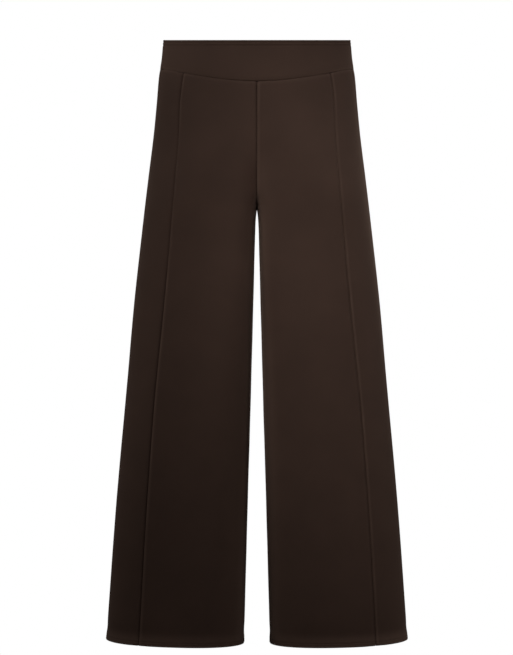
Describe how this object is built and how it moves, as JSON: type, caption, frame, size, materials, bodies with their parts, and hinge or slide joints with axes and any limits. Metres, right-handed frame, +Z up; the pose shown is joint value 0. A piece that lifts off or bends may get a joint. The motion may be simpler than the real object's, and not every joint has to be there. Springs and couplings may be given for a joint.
{
  "type": "straight-leg trousers, worn form",
  "caption": "Hollow worn-form pull-on trousers with a wide shaped waistband, seamed front panels and long, slightly flared straight legs.",
  "frame": {"origin": "centre of the waist opening, level with the waist edge at the side seams, where the wearer's waist holds the trousers up", "axes": "+Z up out of the waist opening, -Y the front, +X the wearer's left"},
  "size_m": [0.481, 0.2349, 0.9737],
  "materials": {
    "leg_knit": "matte firm double knit, dark espresso brown",
    "waistband_knit": "matte firm double knit, two layers, dark espresso brown"
  },
  "bodies": {
    "root": {"waistband_front": "waistband_knit", "waistband_back": "waistband_knit", "centre_front_right": "leg_knit", "centre_front_left": "leg_knit", "side_front_right": "leg_knit", "side_front_left": "leg_knit", "back_right": "leg_knit", "back_left": "leg_knit"}
  },
  "joints": []
}
